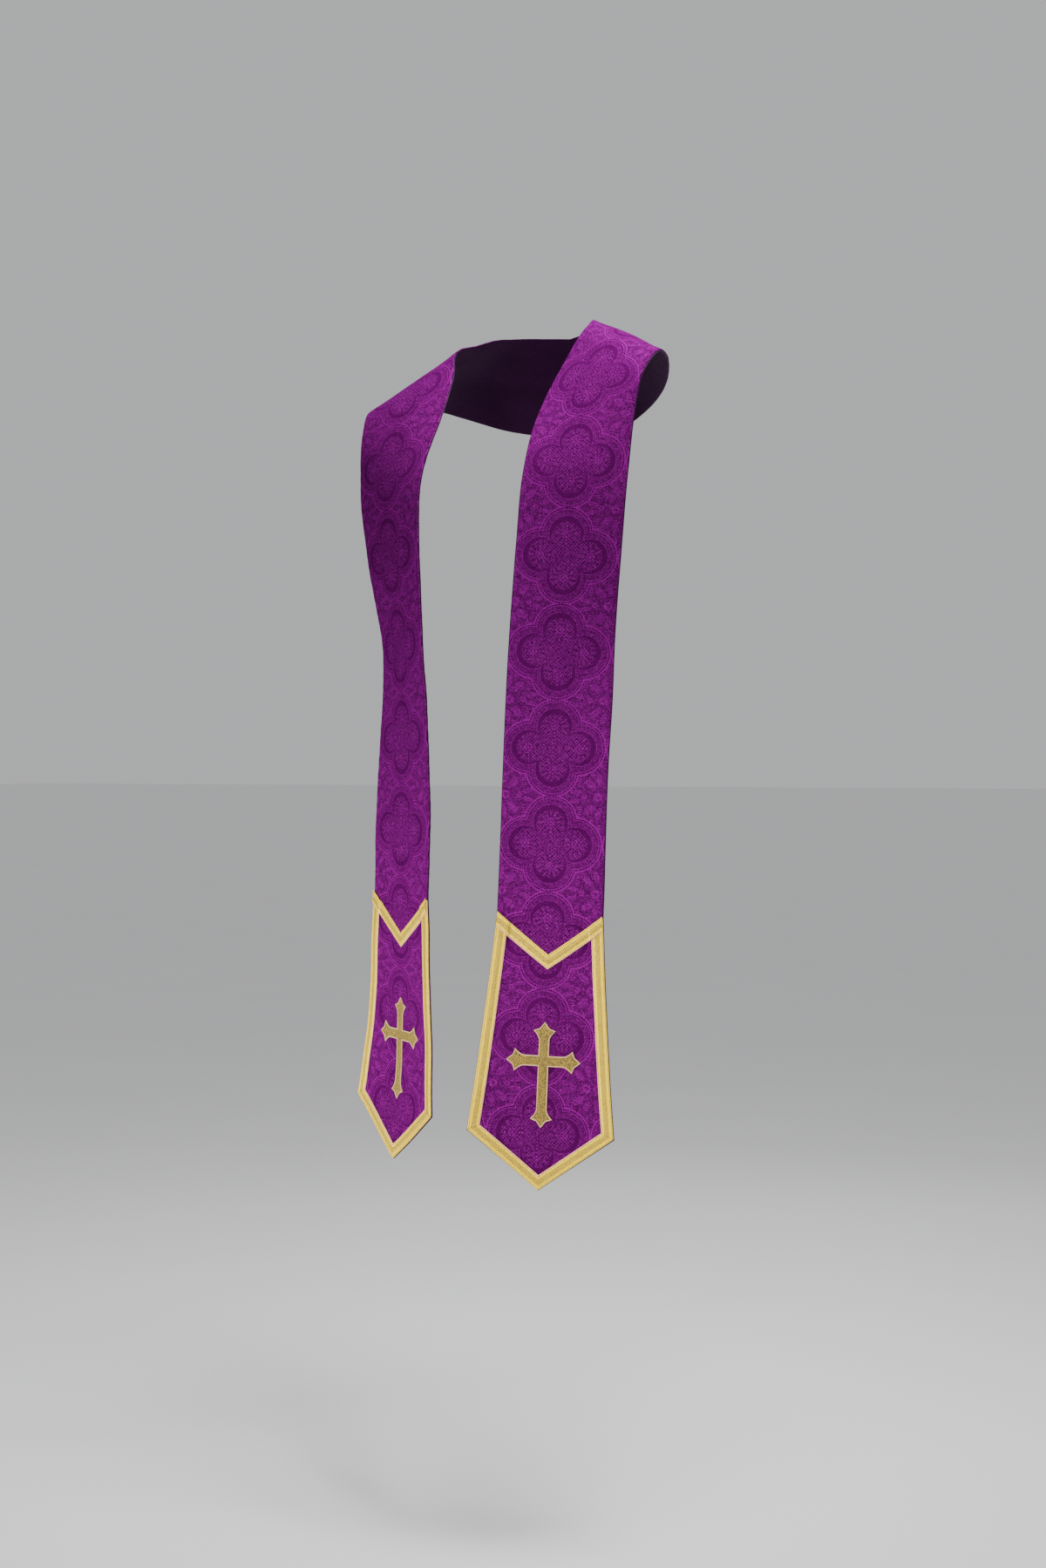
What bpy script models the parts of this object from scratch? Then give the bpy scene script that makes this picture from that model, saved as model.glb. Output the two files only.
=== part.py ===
"""Clerical stole: two lined damask bands joined behind the neck, as they hang when worn.

+Z is up, the wearer faces -Y and the wearer's left is +X. The origin is the nape of the neck, at the
top of the centre-back seam, where the stole is held. Lengths are in metres.

Each band follows a smooth surface through its own sections, which give the places of its two edges. A
point of a band is named by s, its distance from the seam along the band, and t, its distance from the
band's centre line, positive away from the neck.
"""

from math import atan2, cos, hypot, radians

import bmesh
import bpy
import numpy as np
from mathutils import Vector
from mathutils.geometry import delaunay_2d_cdt

# The cut of each band
BAND_WIDTH = 0.127
END_WIDTH = 0.177  # across the lower corners
CHEVRON_TOP = 0.930  # s at the top corners of the gold frame, where the band starts to flare
CORNER = CHEVRON_TOP + 0.2615
TIP = CHEVRON_TOP + 0.3275
EVEN_FLARE = 0.75  # the share of the flare that grows evenly; the rest gathers towards the corners
SLIDE = 0.0145  # the stole has slid this far to the left behind the neck, so its left end hangs lower
SLIDE_FADE = 0.12  # s by which the slide has turned from sideways into along the band

# Thickness of each layer, and the gap between two layers or two pieces
FACE = 0.0012
LINING = 0.0010
BRAID = 0.0010
CROSS = 0.0012
GAP = 0.0003
LINING_SHOWS = 0.0010  # how far the lining stands out past the face

# Gold frame of each end
BRAID_WIDTH = 0.014
CHEVRON_DROP = 0.0485  # from the chevron's top corners down to the inside of its V
TUCK = 0.002  # how far the side braids stop below the chevron's top edge, under it
STEP_UP = 0.003  # length over which the chevron climbs onto a side braid

# Cross, from its crossing
CROSSING = CHEVRON_TOP + 0.175
ARM_UP = 0.0465
ARM_SIDE = 0.0455
ARM_DOWN = 0.0795
STEM_HALF = 0.0064
FLARE_BACK = 0.0225  # from an arm's tip back to where it starts to flare
BARB_BACK = 0.0105
BARB_HALF = 0.0135
NOTCH_BACK = 0.0078
NOTCH_HALF = 0.0060
FLARE_CURVE = 1.8
OUTLINE_STEP = 0.007

# Rows along a band and columns across it
NECK_END = 0.36
NECK_ROWS = 20
FALL_ROWS = 17
END_ROWS = 11
COLUMNS = 6

# Where each band's edges run: its neck-side edge, its arm-side edge, and how far the cloth stands out
# between them. x counts away from the body's middle on both sides. The right shoulder slopes more.
SECTIONS = {
    "left": (
        # place          in x    in y    in z    out x   out y   out z   bow
        ("seam",         0.000,  0.000,  0.000,  0.000,  0.052, -0.124,  0.003),
        ("nape",         0.030, -0.005,  0.004,  0.052,  0.049, -0.112,  0.003),
        ("neck",         0.054, -0.020,  0.007,  0.107,  0.031, -0.094,  0.004),
        ("behind ridge", 0.072, -0.042,  0.008,  0.156, -0.008, -0.080,  0.005),
        ("ridge",        0.088, -0.066,  0.006,  0.189, -0.052, -0.065,  0.006),
        ("over ridge",   0.097, -0.087, -0.002,  0.207, -0.088, -0.053,  0.006),
        ("collar bone",  0.095, -0.103, -0.017,  0.212, -0.114, -0.051,  0.005),
        ("upper chest",  0.084, -0.124, -0.053,  0.207, -0.140, -0.073,  0.004),
        ("chest",        0.075, -0.163, -0.113,  0.202, -0.153, -0.113,  0.004),
        ("breast",       0.076, -0.204, -0.191,  0.198, -0.167, -0.197,  0.003),
        ("ribs",         0.072, -0.216, -0.289,  0.187, -0.165, -0.297,  0.003),
        ("above waist",  0.065, -0.219, -0.390,  0.172, -0.154, -0.396,  0.002),
        ("waist",        0.059, -0.218, -0.471,  0.170, -0.157, -0.475,  0.001),
        ("below waist",  0.055, -0.218, -0.551,  0.170, -0.167, -0.555,  0.000),
        ("thigh",        0.054, -0.228, -0.714,  0.171, -0.179, -0.719, -0.002),
        ("knee",         0.051, -0.237, -0.880,  0.168, -0.189, -0.885, -0.002),
        ("end",          0.048, -0.246, -1.050,  0.165, -0.198, -1.055, -0.002),
    ),
    "right": (
        ("seam",         0.000,  0.000,  0.000,  0.000,  0.052, -0.124,  0.003),
        ("nape",         0.030, -0.005,  0.003,  0.052,  0.050, -0.115,  0.003),
        ("neck",         0.055, -0.018,  0.004,  0.106,  0.040, -0.103,  0.003),
        ("behind ridge", 0.075, -0.038,  0.002,  0.156,  0.014, -0.086,  0.003),
        ("ridge",        0.091, -0.061, -0.007,  0.190, -0.025, -0.075,  0.003),
        ("over ridge",   0.098, -0.086, -0.015,  0.203, -0.067, -0.080,  0.002),
        ("collar bone",  0.096, -0.104, -0.027,  0.206, -0.107, -0.084,  0.003),
        ("upper chest",  0.084, -0.124, -0.053,  0.205, -0.135, -0.093,  0.005),
        ("chest",        0.075, -0.163, -0.113,  0.202, -0.156, -0.122,  0.004),
        ("breast",       0.076, -0.204, -0.191,  0.198, -0.167, -0.197,  0.003),
        ("ribs",         0.072, -0.216, -0.289,  0.187, -0.165, -0.297,  0.003),
        ("above waist",  0.065, -0.219, -0.390,  0.172, -0.154, -0.396,  0.002),
        ("waist",        0.059, -0.218, -0.471,  0.170, -0.157, -0.475,  0.001),
        ("below waist",  0.055, -0.218, -0.553,  0.170, -0.167, -0.553,  0.000),
        ("thigh",        0.051, -0.226, -0.719,  0.168, -0.176, -0.714, -0.002),
        ("knee",         0.050, -0.232, -0.885,  0.166, -0.180, -0.880, -0.002),
        ("end",          0.051, -0.246, -1.055,  0.168, -0.198, -1.050, -0.003),
    ),
}


def smooth_step(x):
    x = np.clip(x, 0.0, 1.0)
    return x * x * (3.0 - 2.0 * x)


def unit(v):
    return v / np.linalg.norm(v, axis=-1, keepdims=True)


class Path:
    """The surface of one band's back, through its sections."""

    def __init__(self, sections):
        self.edges = np.array([row[1:] for row in sections])
        centres = (self.edges[:, 0:3] + self.edges[:, 3:6]) / 2
        lengths = np.linalg.norm(np.diff(centres, axis=0), axis=1)
        self.knots = np.concatenate([[0.0], np.cumsum(lengths)])
        chords = np.diff(self.edges, axis=0) / lengths[:, None]
        before = lengths[:-1, None]
        after = lengths[1:, None]
        inner = (chords[:-1] * after + chords[1:] * before) / (before + after)
        self.slopes = np.vstack([chords[:1], inner, chords[-1:]])

    def section(self, s):
        """The two edges and the bow at each s, on a smooth curve through the sections."""
        k = np.clip(np.searchsorted(self.knots, s, side="right") - 1, 0, len(self.knots) - 2)
        span = (self.knots[k + 1] - self.knots[k])[..., None]
        past = np.clip(s - self.knots[-1], 0.0, None)[..., None]
        x = np.minimum((s - self.knots[k])[..., None] / span, 1.0)
        return (
            self.edges[k] * (1.0 + 2.0 * x) * (1.0 - x) ** 2
            + self.edges[k + 1] * x**2 * (3.0 - 2.0 * x)
            + self.slopes[k] * span * x * (1.0 - x) ** 2
            - self.slopes[k + 1] * span * x**2 * (1.0 - x)
            + self.slopes[-1] * past
        )

    def points(self, s, t):
        here = self.section(s)
        across = (here[..., 3:6] - here[..., 0:3]) / BAND_WIDTH
        centre = (here[..., 0:3] + here[..., 3:6]) / 2
        ahead = self.section(s + 0.001)
        along = (ahead[..., 0:3] + ahead[..., 3:6]) / 2 - centre
        out = unit(np.cross(along, across))
        bow = here[..., 6:7] * (1.0 - (2.0 * t[..., None] / BAND_WIDTH) ** 2)
        return centre + across * t[..., None] + out * bow

    def normals(self, s, t):
        step = 0.0005
        along = self.points(s + step, t) - self.points(s - step, t)
        across = self.points(s, t + step) - self.points(s, t - step)
        out = np.cross(along, across)
        out[..., 0] *= smooth_step(s / 0.01)  # the seam stays in one plane through the thickness
        return unit(out)


PATHS = {word: Path(sections) for word, sections in SECTIONS.items()}
SIDES = {"left": 1, "right": -1}


def place(word, s, t, lift):
    """Points at s and t of one band, lifted off its back."""
    slide = SIDES[word] * SLIDE
    settled = smooth_step(s / SLIDE_FADE)
    at = s + slide * settled
    points = PATHS[word].points(at, t) + PATHS[word].normals(at, t) * np.asarray(lift)[..., None]
    points[..., 0] += slide * (1.0 - settled) + GAP / 2
    points[..., 0] *= SIDES[word]
    return points


def half_width(s):
    """Half the band's width, which flares from the chevron's top to the lower corners."""
    x = np.clip((s - CHEVRON_TOP) / (CORNER - CHEVRON_TOP), 0.0, 1.0)
    flare = EVEN_FLARE * x + (1.0 - EVEN_FLARE) * x**2
    return BAND_WIDTH / 2 + (END_WIDTH - BAND_WIDTH) / 2 * flare


def new_object(name, vertices, faces, material):
    mesh = bpy.data.meshes.new(name)
    mesh.from_pydata([tuple(v) for v in vertices], [], faces)
    shape = bmesh.new()
    shape.from_mesh(mesh)
    bmesh.ops.recalc_face_normals(shape, faces=shape.faces)
    shape.to_mesh(mesh)
    shape.free()
    mesh.shade_smooth()
    mesh.set_sharp_from_angle(angle=radians(40))
    mesh.materials.append(material)
    made = bpy.data.objects.new(name, mesh)
    bpy.context.scene.collection.objects.link(made)
    return made


def slab(name, word, s, t, lift, thickness, material):
    """A closed sheet over a grid of s and t, from lift to lift + thickness off the band's back."""
    rows, columns = s.shape
    count = rows * columns
    below = place(word, s, t, lift).reshape(count, 3)
    above = place(word, s, t, lift + thickness).reshape(count, 3)
    faces = []
    for r in range(rows - 1):
        for c in range(columns - 1):
            a = r * columns + c
            b, d, e = a + 1, a + columns, a + columns + 1
            faces += [(a, b, e), (a, e, d)]
            faces += [(count + a, count + e, count + b), (count + a, count + d, count + e)]
    top = list(range(columns))
    right = [r * columns + columns - 1 for r in range(1, rows)]
    bottom = [(rows - 1) * columns + c for c in range(columns - 2, -1, -1)]
    left = [r * columns for r in range(rows - 2, 0, -1)]
    rim = top + right + bottom + left
    for a, b in zip(rim, rim[1:] + rim[:1]):
        faces += [(a, count + a, count + b), (a, count + b, b)]
    return new_object(name, np.vstack([below, above]), faces, material)


def band_grid(margin):
    """s and t of a whole band's mesh: straight rows that turn into the pointed end's own V."""
    rows = np.concatenate([
        np.linspace(0.0, NECK_END, NECK_ROWS, endpoint=False),
        np.linspace(NECK_END, CHEVRON_TOP, FALL_ROWS, endpoint=False),
        np.linspace(CHEVRON_TOP, CORNER, END_ROWS),
    ])
    v = np.linspace(-1.0, 1.0, COLUMNS + 1)
    point = smooth_step((rows - CHEVRON_TOP) / (CORNER - CHEVRON_TOP))
    s = rows[:, None] + point[:, None] * (TIP - CORNER) * (1.0 - np.abs(v))
    s[-1] += margin
    edge = np.where(np.abs(v) == 1.0, np.sign(v), 0.0)
    t = half_width(rows)[:, None] * v + margin * edge
    return s, t


def chevron_grid():
    """s, t and lift of the V across the end's top, whose ends lie over the side braids."""
    foot = BRAID_WIDTH + 2 * GAP + STEP_UP
    from_edge = [0.0, BRAID_WIDTH / 2, BRAID_WIDTH + 2 * GAP, foot]
    from_edge += [foot + (BAND_WIDTH / 2 - foot) * i / 4 for i in range(1, 5)]
    from_edge = np.array(from_edge)
    slope = atan2(CHEVRON_DROP, BAND_WIDTH / 2)
    down = np.linspace(0.0, BRAID_WIDTH / cos(slope), 3)
    s = CHEVRON_TOP + CHEVRON_DROP * from_edge / (BAND_WIDTH / 2) + down[:, None]
    t = half_width(s) * (1.0 - from_edge / (BAND_WIDTH / 2))
    climb = 1.0 - smooth_step((from_edge - BRAID_WIDTH - 2 * GAP) / STEP_UP)
    lift = FACE + GAP + (BRAID + GAP) * climb + np.zeros(s.shape)
    return (
        np.hstack([s, s[:, -2::-1]]),
        np.hstack([-t, t[:, -2::-1]]),
        np.hstack([lift, lift[:, -2::-1]]),
    )


def inner_corner():
    """s and t where the side braid and the lower braid meet on the frame's inside."""
    edge = np.array([1.0, (half_width(CORNER) - half_width(CORNER - 0.001)) / 0.001])
    foot = np.array([TIP - CORNER, -END_WIDTH / 2])
    from_side = np.array([edge[1], -edge[0]]) / hypot(*edge)
    from_foot = np.array([foot[1], -foot[0]]) / hypot(*foot)
    inward = (from_side + from_foot) / (1.0 + from_side @ from_foot)
    return np.array([CORNER, END_WIDTH / 2]) + BRAID_WIDTH * inward


def side_braid_grid(outward):
    """s and t of the braid on the arm side (outward 1) or the neck side (outward -1)."""
    c = np.linspace(0.0, 1.0, 3)
    r = np.linspace(0.0, 1.0, 11)[:, None]
    top_t = BAND_WIDTH / 2 - BRAID_WIDTH * (1.0 - c)
    top = CHEVRON_TOP + CHEVRON_DROP * (1.0 - 2.0 * top_t / BAND_WIDTH) + TUCK
    foot = inner_corner()[0] * (1.0 - c) + CORNER * c - 1.5 * GAP
    s = top * (1.0 - r) + foot * r
    t = half_width(s) - BRAID_WIDTH * (1.0 - c)
    return s, outward * t


def point_braid_grid():
    """s and t of the braid along the pointed end, folded at the tip."""
    v = np.linspace(-1.0, 1.0, 13)
    down = 1.0 - np.abs(v)
    corner_s, corner_t = inner_corner()
    inner_tip = TIP - BRAID_WIDTH * hypot(TIP - CORNER, END_WIDTH / 2) / (END_WIDTH / 2)
    inner = np.array([corner_s + (inner_tip - corner_s) * down, v * corner_t])
    outer = np.array([CORNER + (TIP - CORNER) * down, v * END_WIDTH / 2])
    c = np.linspace(0.0, 1.0, 3)[:, None]
    return inner[0] * (1.0 - c) + outer[0] * c, inner[1] * (1.0 - c) + outer[1] * c


def arm_edge(length):
    """One edge of a cross arm, from the crossing to the tip, as distances along it and from its middle."""
    neck = length - FLARE_BACK
    steps = max(1, round((neck - STEM_HALF) / OUTLINE_STEP))
    edge = [(STEM_HALF + (neck - STEM_HALF) * i / steps, STEM_HALF) for i in range(steps + 1)]
    for i in range(1, 5):
        x = i / 4
        along = neck + (FLARE_BACK - BARB_BACK) * x
        edge.append((along, STEM_HALF + (BARB_HALF - STEM_HALF) * x**FLARE_CURVE))
    edge.append((length - NOTCH_BACK, NOTCH_HALF))
    return edge


def cross_outline():
    """The cross's outline, as down and across from its crossing."""
    outline = []
    # length of the arm, its direction, and the direction that its first edge lies to
    arms = (
        (ARM_DOWN, (1, 0), (0, -1)),
        (ARM_SIDE, (0, 1), (1, 0)),
        (ARM_UP, (-1, 0), (0, 1)),
        (ARM_SIDE, (0, -1), (-1, 0)),
    )
    for length, ahead, aside in arms:
        edge = arm_edge(length)
        first = [(a, b) for a, b in edge]
        second = [(a, -b) for a, b in reversed(edge[1:])]
        for a, b in first + [(length, 0.0)] + second:
            outline.append((a * ahead[0] + b * aside[0], a * ahead[1] + b * aside[1]))
    return outline


def cross_plate(name, word, material):
    outline = [Vector(point) for point in cross_outline()]
    ring = list(range(len(outline)))
    edges = list(zip(ring, ring[1:] + ring[:1]))
    flat, _, triangles, *_ = delaunay_2d_cdt(outline, edges, [ring], 1, 1e-6)
    count = len(flat)
    s = np.array([CROSSING + point.x for point in flat])
    t = np.array([point.y for point in flat])
    base = np.full(count, FACE + GAP)
    vertices = np.vstack([place(word, s, t, base), place(word, s, t, base + CROSS)])
    faces = [tuple(triangle) for triangle in triangles]
    faces += [tuple(count + i for i in reversed(triangle)) for triangle in triangles]
    for a, b in edges:
        faces += [(a, b, count + b), (a, count + b, count + a)]
    return new_object(name, vertices, faces, material)


def principled(name, colour, roughness, metallic=0.0, sheen=0.0):
    material = bpy.data.materials.new(name)
    material.use_nodes = True
    shader = material.node_tree.nodes["Principled BSDF"]
    shader.inputs["Base Color"].default_value = (*colour, 1.0)
    shader.inputs["Roughness"].default_value = roughness
    shader.inputs["Metallic"].default_value = metallic
    shader.inputs["Sheen Weight"].default_value = sheen
    material.diffuse_color = (*colour, 1.0)
    return material


def build_band(word, materials):
    damask, lining, gold_braid, gold_thread = materials
    s, t = band_grid(0.0)
    slab(f"panel_{word}", word, s, t, np.zeros(s.shape), FACE, damask)
    s, t = band_grid(LINING_SHOWS)
    slab(f"lining_{word}", word, s, t, np.full(s.shape, -GAP - LINING), LINING, lining)
    s, t = side_braid_grid(-1)
    slab(f"braid_neck_side_{word}", word, s, t, np.full(s.shape, FACE + GAP), BRAID, gold_braid)
    s, t = side_braid_grid(1)
    slab(f"braid_arm_side_{word}", word, s, t, np.full(s.shape, FACE + GAP), BRAID, gold_braid)
    s, t = point_braid_grid()
    slab(f"braid_point_{word}", word, s, t, np.full(s.shape, FACE + GAP), BRAID, gold_braid)
    s, t, lift = chevron_grid()
    slab(f"braid_chevron_{word}", word, s, t, lift, BRAID, gold_braid)
    cross_plate(f"cross_{word}", word, gold_thread)


for old in list(bpy.data.objects):
    bpy.data.objects.remove(old)

MATERIALS = (
    principled("purple damask", (0.19, 0.004, 0.20), 0.55, sheen=0.3),
    principled("dark lining", (0.03, 0.004, 0.03), 0.7),
    principled("gold braid", (0.62, 0.47, 0.16), 0.42, metallic=0.6),
    principled("gold thread", (0.42, 0.31, 0.10), 0.45, metallic=0.6),
)
for WORD in SIDES:
    build_band(WORD, MATERIALS)
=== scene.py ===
from math import cos, hypot, radians, sin, tau

import bmesh
import bpy
import numpy as np
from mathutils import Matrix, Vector
from mathutils.geometry import delaunay_2d_cdt


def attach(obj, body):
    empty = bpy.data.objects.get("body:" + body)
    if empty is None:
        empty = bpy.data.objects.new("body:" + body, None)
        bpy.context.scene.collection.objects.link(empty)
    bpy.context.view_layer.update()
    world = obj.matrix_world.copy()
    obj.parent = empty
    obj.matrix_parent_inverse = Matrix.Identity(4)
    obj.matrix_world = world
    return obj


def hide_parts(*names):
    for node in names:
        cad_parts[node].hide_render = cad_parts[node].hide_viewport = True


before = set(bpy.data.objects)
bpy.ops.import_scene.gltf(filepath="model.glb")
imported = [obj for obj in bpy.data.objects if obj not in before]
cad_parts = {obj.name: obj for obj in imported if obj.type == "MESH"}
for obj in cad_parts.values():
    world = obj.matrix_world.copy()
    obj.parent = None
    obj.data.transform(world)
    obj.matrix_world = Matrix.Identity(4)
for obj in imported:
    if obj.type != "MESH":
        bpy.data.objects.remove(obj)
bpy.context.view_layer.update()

# The cut. s runs along a band from the centre-back seam and t across it, positive away from the neck.
BAND_WIDTH = 0.127
HALF_BAND = BAND_WIDTH / 2
END_WIDTH = 0.177  # across the lower corners
HALF_END = END_WIDTH / 2
CHEVRON_TOP = 0.930  # s at the top corners of the gold frame, where the band starts to flare
CORNER = CHEVRON_TOP + 0.2615
TIP = CHEVRON_TOP + 0.3275
EVEN_FLARE = 0.75  # the share of the flare that grows evenly; the rest gathers towards the corners
SLIDE = 0.0145  # how far the stole has slid to the left behind the neck
SLIDE_FADE = 0.12  # s by which the slide has turned from sideways into along the band

# Thickness of each layer, and what lies between two layers or pieces
FACE = 0.0012
LINING = 0.0010
BRAID = 0.0010
GAP = 0.0003
SEAM = 0.00002  # left between the halves, whose folded edges meet in a groove
LINING_SHOWS = 0.0010  # how far the lining stands out past the face

# Gold frame of each end
BRAID_WIDTH = 0.014
CHEVRON_DROP = 0.0485  # from the chevron's top corners down to the inside of its V
CHEVRON_SLANT = hypot(CHEVRON_DROP, HALF_BAND)  # length of each of its arms
CHEVRON_COVER = BRAID_WIDTH + 2 * GAP  # how far each arm lies over a side braid
STEP_UP = 0.003  # length over which an arm climbs onto the side braid
TUCK = 0.002  # how far the side braids stop below the chevron's top edge, under it
FOOT_SLANT = hypot(TIP - CORNER, HALF_END)  # length of each lower diagonal
FOOT_GAP = 1.5 * GAP  # left between a side braid and the lower braid
FOLD_RISE = 0.0002  # how far a braid rises where it is folded at a point
TIP_FOLD = 0.03  # reach of the fold at the tip, as a share of a lower diagonal
CHEVRON_FOLD = 0.0025  # reach of the fold at the point of the V, across the band

# Cross: its arms from the crossing, and back from each arm's tip
CROSSING = CHEVRON_TOP + 0.175
ARM_UP = 0.0465
ARM_SIDE = 0.0455
ARM_DOWN = 0.0795
STEM_HALF = 0.0064
FLARE_BACK = 0.0225
FLARE_CURVE = 1.8
BARB_BACK = 0.0105
BARB_HALF = 0.0135
NOTCH_BACK = 0.0078
NOTCH_HALF = 0.0060

SIDES = {"left": 1, "right": -1}

# Both edges of each band and how far the cloth stands out between them, as in the CAD, in mm. x counts
# away from the middle on both sides. TRUNK is where both bands hang alike.
TRUNK = (
    # place           in x   in y   in z  out x  out y  out z    bow
    ("breast",          76,  -204,  -191,   198,  -167,  -197,     3),
    ("ribs",            72,  -216,  -289,   187,  -165,  -297,     3),
    ("above waist",     65,  -219,  -390,   172,  -154,  -396,     2),
    ("waist",           59,  -218,  -471,   170,  -157,  -475,     1),
)
SECTIONS = {
    "left": (
        # place           in x   in y   in z  out x  out y  out z    bow
        ("seam",             0,     0,     0,     0,    52,  -124,     3),
        ("nape",            30,    -5,     4,    52,    49,  -112,     3),
        ("neck",            54,   -20,     7,   107,    31,   -94,     4),
        ("behind ridge",    72,   -42,     8,   156,    -8,   -80,     5),
        ("ridge",           88,   -66,     6,   189,   -52,   -65,     6),
        ("over ridge",      97,   -87,    -2,   207,   -88,   -53,     6),
        ("collar bone",     95,  -103,   -17,   212,  -114,   -51,     5),
        ("upper chest",     84,  -124,   -53,   207,  -140,   -73,     4),
        ("chest",           75,  -163,  -113,   202,  -153,  -113,     4),
        *TRUNK,
        ("below waist",     55,  -218,  -551,   170,  -167,  -555,     0),
        ("thigh",           54,  -228,  -714,   171,  -179,  -719,    -2),
        ("knee",            51,  -237,  -880,   168,  -189,  -885,    -2),
        ("end",             48,  -246, -1050,   165,  -198, -1055,    -2),
    ),
    "right": (
        ("seam",             0,     0,     0,     0,    52,  -124,     3),
        ("nape",            30,    -5,     3,    52,    50,  -115,     3),
        ("neck",            55,   -18,     4,   106,    40,  -103,     3),
        ("behind ridge",    75,   -38,     2,   156,    14,   -86,     3),
        ("ridge",           91,   -61,    -7,   190,   -25,   -75,     3),
        ("over ridge",      98,   -86,   -15,   203,   -67,   -80,     2),
        ("collar bone",     96,  -104,   -27,   206,  -107,   -84,     3),
        ("upper chest",     84,  -124,   -53,   205,  -135,   -93,     5),
        ("chest",           75,  -163,  -113,   202,  -156,  -122,     4),
        *TRUNK,
        ("below waist",     55,  -218,  -553,   170,  -167,  -553,     0),
        ("thigh",           51,  -226,  -719,   168,  -176,  -714,    -2),
        ("knee",            50,  -232,  -885,   166,  -180,  -880,    -2),
        ("end",             51,  -246, -1055,   168,  -198, -1050,    -3),
    ),
}

# Meshes of the cloth
ROW_STEP = 0.003
LINING_ROW_STEP = 0.004
COLUMNS = 36
LINING_COLUMNS = 32
FOLD = (0.0, 0.00025, 0.0007, 0.0013)  # distances in from an edge where its fold is modelled
FOLD_DEPTH = 0.0010  # how far in from the edge the cloth reaches its full thickness
POINT_INSET = 0.8  # distance in from a lower diagonal for each metre up the rows from it
TURNING = 0.010  # width of the seam allowance turned in along each edge
TURNING_LIFT = 0.00022
TURNING_FADE = 0.003
TURNING_END = 0.02  # length above the gold frame over which the allowance stops showing
PUCKER = 0.00012  # height of the pucker along the sewn edges
PUCKER_REACH = 0.0055
PUCKER_END = 0.03  # length above the gold frame over which the puckers end
PUCKER_RHYTHM = (0.017, 1.9, 0.083)  # spacing, how far it wanders as an angle, and over what length
PUCKER_OFFSET = 0.8  # angle by which the two edges' puckers are out of step, each way
LINING_PUCKER = 0.00025
LINING_PUCKER_IN = 0.006  # how far in from its edge the lining puckers most
LINING_RHYTHM = (0.019, 2.2, 0.117)
LINING_SLANT = 240.0  # how fast a pucker of the lining turns aslant, as an angle for each metre of t
LINING_SAG = 0.0003
LINING_SAG_ALONG = 0.18
LINING_SAG_ACROSS = 0.09
LINING_SAG_FADE = 0.02
# The soft waves of hanging cloth
WAVES_GROW = 0.06  # s over which they grow from nothing at the centre-back seam
WAVES = (
    # height  along  across  start
    (0.00060, 0.310, 0.55, 0.6),
    (0.00035, 0.137, -0.21, 2.1),
    (0.00018, 0.071, 0.13, 4.0),
)

# Damask: quatrefoils stacked in one column along the band
REPEAT = 0.115  # from one quatrefoil to the next
COLUMN = 0.127  # from one column to the next
TOUCH = {"left": 1.019, "right": 1.0215}  # s at which two quatrefoils touch
COLUMN_SHIFT = {"left": -0.003, "right": 0.003}


def smooth_step(x):
    x = np.clip(x, 0.0, 1.0)
    return x * x * (3.0 - 2.0 * x)


def above_frame(s, length):
    """1 on the band, fading to 0 over this length just above the gold frame."""
    return 1.0 - smooth_step((s - CHEVRON_TOP + length) / length)


def rhythm(s, spacing, wander, drift):
    """An angle that turns once in each spacing along s, and gets ahead and behind by wander."""
    return tau * s / spacing + wander * np.sin(tau * s / drift)


def unit(v):
    return v / np.linalg.norm(v, axis=-1, keepdims=True)


def run_along(points):
    """The distance of each point from the first, along the line through them."""
    return np.concatenate([[0.0], np.cumsum(np.linalg.norm(np.diff(points, axis=0), axis=1))])


NEAR = 0.001  # how far apart two points are taken to find the cloth's direction
LENGTH_POINTS = 1300  # taken along a band to find its length
SEAM_LEVEL = 0.01  # s by which a band's back may turn sideways; at the seam both halves face alike


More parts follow.
